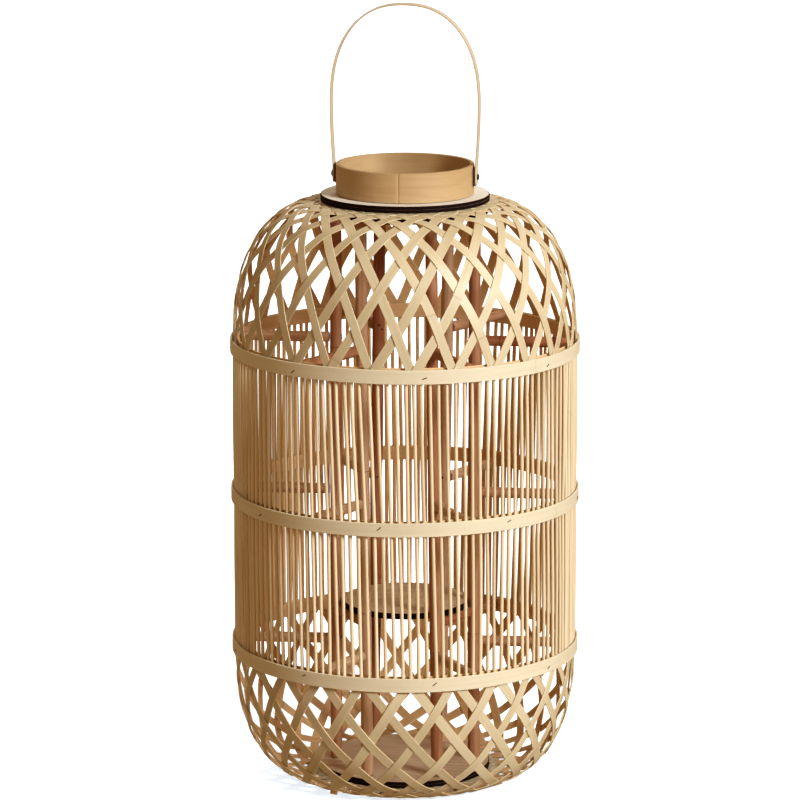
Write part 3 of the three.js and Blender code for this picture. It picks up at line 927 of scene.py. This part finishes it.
def make_collar():
    outer = outer_radius("collar")
    low, high = low_z("collar"), high_z("collar")
    seam = azimuth(-95.5)
    edge = COLLAR_EDGE
    build = Build()
    lap = math.radians(0.6)
    profile = sorted([TURN * k / COLLAR_STEPS for k in range(COLLAR_STEPS)] + [lap * 0.3, lap * 0.6, lap])
    for turned in profile:
        angle = seam + turned
        face = outer - SEAM_STEP * max(0.0, 1 - turned / lap) - 0.02 * MM
        section = [
            (NECK_INNER, low + edge, 0.3), (NECK_INNER + edge, low, 0.8), (face - edge, low, 0.8),
            (face, low + edge, 0.3), (face, (low * 2 + high) / 3, 0.0), (face, (low + high * 2) / 3, 0.0),
            (face, high - edge, 0.3), (face - edge, high, 0.9), (NECK_INNER + edge, high, 0.9),
            (NECK_INNER, high - edge, 0.3), (NECK_INNER, (low + high) / 2, 0.0),
        ]
        for r, z, rim in section:
            build.point(polar(r, angle, z), (turned * outer, z + (outer - r) * 2, 0.5), rim)
    rows, sides = len(profile), len(section)
    for k in range(rows):
        build.join(k * sides, (k + 1) % rows * sides, sides)
    mesh = drill(build.blank("collar_blank"), PIVOT, HOLE, 2 * outer + 10 * MM)
    grain, rim = [], []
    for vertex in mesh.vertices:
        place = vertex.co
        turned = (math.atan2(place.y, place.x) - seam) % TURN
        r = math.hypot(place.x, place.y)
        grain.append((turned * outer, place.z + (outer - r) * 2, 0.5))
        # The rim value marks the top and bottom edges, which the material darkens as painted shade.
        near = min(place.z - low, high - place.z)
        rim.append(max(0.0, 1 - near / (0.6 * MM)))
    put_values(mesh, grain, rim)
    finish_piece("bent_collar", mesh, COLLAR, "lantern", ("collar",), 35)


# ---- Handle, tabs and rivets ----
STRIP_THICK = 2 * MM
STRIP_WIDE = 10 * MM
ARCH_START = 683.5 * MM
HANDLE_FOOT = 72.6 * MM          # outside of the handle at its ends
FOOT_STEPS, SIDE_STEPS, ARCH_STEPS, HANDLE_STEPS = 13, 24, 90, 240
HANDLE_WAVE = 0.25 * MM          # how much its width wavers
HANDLE_CORNER = 3.2 * MM


def handle_line():
    """The handle's middle line from its right end to its left end, in the XZ plane."""
    low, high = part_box("handle")
    half = high.x - STRIP_THICK / 2
    foot = HANDLE_FOOT - STRIP_THICK / 2
    top = high.z - STRIP_THICK / 2
    bend = PIVOT.z + STRIP_WIDE
    right = []
    for i in range(FOOT_STEPS):
        right.append((foot, low.z + (bend - low.z) * i / FOOT_STEPS))
    for i in range(SIDE_STEPS):
        share = i / SIDE_STEPS
        right.append((foot + (half - foot) * math.sin(share * math.pi / 2), bend + share * (ARCH_START - bend)))
    right += quarter_curve(0.0, half, ARCH_START, top - ARCH_START, ARCH_STEPS)
    left = [(-x, z) for x, z in right[:-1]][::-1]
    return [Vector((x, 0, z)) for x, z in right + left]


def make_handle():
    line = handle_line()
    lengths = [0.0]
    for a, b in zip(line, line[1:]):
        lengths.append(lengths[-1] + (b - a).length)
    total = lengths[-1]
    end = [d * MM for d in (0.0, 0.2, 0.6, 1.2, 2.0, 3.0, 4.0, 5.0)]
    middle = [end[-1] + (total - 2 * end[-1]) * i / HANDLE_STEPS for i in range(1, HANDLE_STEPS)]
    stops = []
    k = 0
    for s in end + middle + [total - d for d in reversed(end)]:
        while k < len(lengths) - 2 and lengths[k + 1] < s:
            k += 1
        share = (s - lengths[k]) / (lengths[k + 1] - lengths[k])
        centre = line[k].lerp(line[k + 1], share)
        a, b = line[max(k - 1, 0)], line[min(k + 2, len(line) - 1)]
        along = (b - a).normalized()
        outward = Vector((along.z, 0, -along.x))
        across = Vector((0, 1, 0))
        cut = max(HANDLE_CORNER - min(s, total - s), 0.0)
        trim = HANDLE_CORNER - math.sqrt(HANDLE_CORNER ** 2 - cut ** 2)
        wide = STRIP_WIDE - 2 * trim - 0.3 * MM + HANDLE_WAVE * math.sin(23 * s)
        section = strip_section(wide, -STRIP_THICK / 2, STRIP_THICK / 2 - 0.08 * MM, 0.45 * MM, crown=0.08 * MM)
        stops.append((centre, across, outward, section))
    build = Build()
    build.sweep(stops, 0.5)
    mesh = drill(build.blank("handle_blank"), PIVOT, HOLE, 4 * HANDLE_FOOT)
    grain, rim = [], []
    for vertex in mesh.vertices:
        place = Vector((vertex.co.x, 0, vertex.co.z))
        best = min(range(len(line)), key=lambda n: (line[n] - place).length_squared)
        a, b = line[max(best - 1, 0)], line[min(best + 1, len(line) - 1)]
        along = (b - a).normalized()
        s = lengths[best] + (place - line[best]).dot(along)
        outside = (place - line[best]).dot(Vector((along.z, 0, -along.x)))
        grain.append((s, vertex.co.y + (0.05 if outside < 0 else 0.0), 0.5))
        rim.append(max(0.0, 1 - (STRIP_WIDE / 2 - abs(vertex.co.y)) / (0.8 * MM)))
    put_values(mesh, grain, rim)
    finish_piece("bail_handle", mesh, HANDLE, "handle", ("handle",), 40)


def make_tabs():
    corner = 2.6 * MM
    edge = 0.25 * MM
    for side in ("right", "left"):
        low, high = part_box(f"tab_{side}")
        rounded = []
        for cy, cz, start in ((high.y - corner, high.z - corner, 0), (low.y + corner, high.z - corner, 90),
                              (low.y + corner, low.z + corner, 180), (high.y - corner, low.z + corner, 270)):
            for i in range(7):
                angle = math.radians(start + 15 * i)
                rounded.append((cy, cz, math.cos(angle), math.sin(angle)))
        form = bmesh.new()
        rows = []
        for x, inset in ((low.x, edge), (low.x + edge, 0.0), (high.x - edge, 0.0), (high.x, edge)):
            radius = corner - inset
            rows.append([form.verts.new((x, cy + dy * radius, cz + dz * radius)) for cy, cz, dy, dz in rounded])
        count = len(rounded)
        for a, b in zip(rows, rows[1:]):
            for i in range(count):
                form.faces.new((a[i], a[(i + 1) % count], b[(i + 1) % count], b[i]))
        form.faces.new(rows[0])
        form.faces.new(rows[-1])
        bmesh.ops.recalc_face_normals(form, faces=form.faces)
        mesh = bpy.data.meshes.new("tab_blank")
        form.to_mesh(mesh)
        form.free()
        mesh = drill(mesh, Vector(((low.x + high.x) / 2, 0, PIVOT.z)), HOLE, 8 * MM)
        grain = [(v.co.z, v.co.y, 0.5) for v in mesh.vertices]
        rim = [1.0 if min(v.co.y - low.y, high.y - v.co.y, v.co.z - low.z, high.z - v.co.z) < 0.2 * MM else 0.0
               for v in mesh.vertices]
        put_values(mesh, grain, rim)
        finish_piece(f"leather_tab_{side}", mesh, LEATHER, "lantern", (f"tab_{side}",), 50)


def make_rivets():
    for side, sign in (("right", 1), ("left", -1)):
        low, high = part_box(f"rivet_{side}")
        near, far = (low.x, high.x) if sign > 0 else (-high.x, -low.x)
        head_face = far - 1.7 * MM
        clinch_face = near + 1.0 * MM
        head, clinch = 3.2 * MM, 2.8 * MM
        profile = [(0, near, 0.2), (clinch * 0.5, near, 0.2), (clinch * 0.9, near + 0.12 * MM, 1.0),
                   (clinch, near + 0.4 * MM, 1.0), (clinch, clinch_face, 0.3), (SHANK, clinch_face, 0.0),
                   (SHANK, head_face, 0.0), (head * 0.97, head_face, 0.2), (head, head_face + 0.25 * MM, 1.0)]
        for i in range(1, 8):
            angle = (i / 8) * math.pi / 2
            profile.append((head * math.cos(angle), head_face + 0.25 * MM + 1.45 * MM * math.sin(angle),
                            0.4 * math.sin(angle)))
        profile.append((0, far, 0.5))
        build = Build()
        build.turn(profile, 40, lambda place: (place.x, place.y, place.z), closed=False)
        placed = Matrix.Translation(Vector((0, 0, PIVOT.z))) @ Matrix.Rotation(sign * math.pi / 2, 4, "Y")
        build.points = [placed @ p for p in build.points]
        build.piece(f"domed_rivet_{side}", METAL, "lantern", "rivet_metal", (f"rivet_{side}",), 45)


make_top()
make_bottom()
make_tail()
make_sticks()
make_hoops()
make_canes()
make_nails()
make_plywood()
make_collar()
make_handle()
make_tabs()
make_rivets()


# ---- Floor, light and camera ----
STAGE_REACH = 30.0
BACKDROP = 28.5                  # radius of the wall round the floor
DAYLIGHT = (0.93, 0.985, 1.05)
WARM_ROOM = (0.35, 0.24, 0.14, 1)
LENS, SENSOR = 197.35, 36        # in millimetres
CAMERA_DISTANCE = 4.3
CAMERA_HEIGHT = 1.3012
CAMERA_TILT = 12.044             # degrees below level
CAMERA_PAN = 0.067               # degrees


def stage_piece(name, form, colour, glow):
    """A pale piece of the set. The camera sees it and shadows fall on it, but it lights nothing."""
    mesh = bpy.data.meshes.new(name)
    form.to_mesh(mesh)
    form.free()
    thing = add_object(name, mesh)
    paint = bpy.data.materials.new(name + "_paint")
    paint.use_nodes = True
    shader = paint.node_tree.nodes["Principled BSDF"]
    shader.inputs["Base Color"].default_value = colour
    shader.inputs["Roughness"].default_value = 0.9
    shader.inputs["Specular IOR Level"].default_value = 0.0
    shader.inputs["Emission Color"].default_value = glow
    shader.inputs["Emission Strength"].default_value = 1.0
    mesh.materials.append(paint)
    thing.visible_diffuse = False
    thing.visible_glossy = False
    thing.visible_shadow = False
    return thing


def make_stage():
    form = bmesh.new()
    bmesh.ops.create_grid(form, x_segments=2, y_segments=2, size=STAGE_REACH)
    floor = stage_piece("floor", form, (0.8, 0.8, 0.8, 1), (0.39, 0.48, 0.56, 1))
    floor.location.z = -0.2 * MM
    form = bmesh.new()
    bmesh.ops.create_cone(form, segments=96, radius1=BACKDROP, radius2=BACKDROP, depth=STAGE_REACH)
    stage_piece("backdrop", form, (0, 0, 0, 1), (1.3, 1.3, 1.3, 1))


def make_lamp(name, energy, softness, from_side, height, gloss=True):
    light = bpy.data.lights.new(name, "SUN")
    light.energy = energy
    light.angle = math.radians(softness)
    light.color = DAYLIGHT
    lamp = add_object(name, light)
    towards = polar(math.cos(height), from_side, math.sin(height))
    lamp.rotation_euler = (-towards).to_track_quat("-Z", "Y").to_euler()
    lamp.location = towards * 4
    lamp.visible_glossy = gloss


def make_light():
    world = bpy.data.worlds.new("studio")
    world.use_nodes = True
    back = world.node_tree.nodes["Background"]
    back.inputs["Color"].default_value = WARM_ROOM
    back.inputs["Strength"].default_value = 1.0
    bpy.context.scene.world = world
    make_lamp("key", energy=2.85, softness=18, from_side=azimuth(-45), height=math.radians(28))
    make_lamp("fill", energy=1.3, softness=40, from_side=azimuth(90), height=math.radians(14), gloss=False)


def make_camera():
    data = bpy.data.cameras.new("camera")
    data.sensor_width = SENSOR
    data.lens = LENS
    data.clip_end = 100
    camera = add_object("camera", data)
    camera.location = polar(CAMERA_DISTANCE, azimuth(-90), CAMERA_HEIGHT)
    camera.rotation_euler = (math.radians(90 - CAMERA_TILT), 0, math.radians(VIEW_TURN + CAMERA_PAN))
    bpy.context.scene.camera = camera


make_stage()
make_light()
make_camera()
bpy.context.scene.view_settings.view_transform = "Standard"
bpy.context.scene.view_settings.look = "High Contrast"
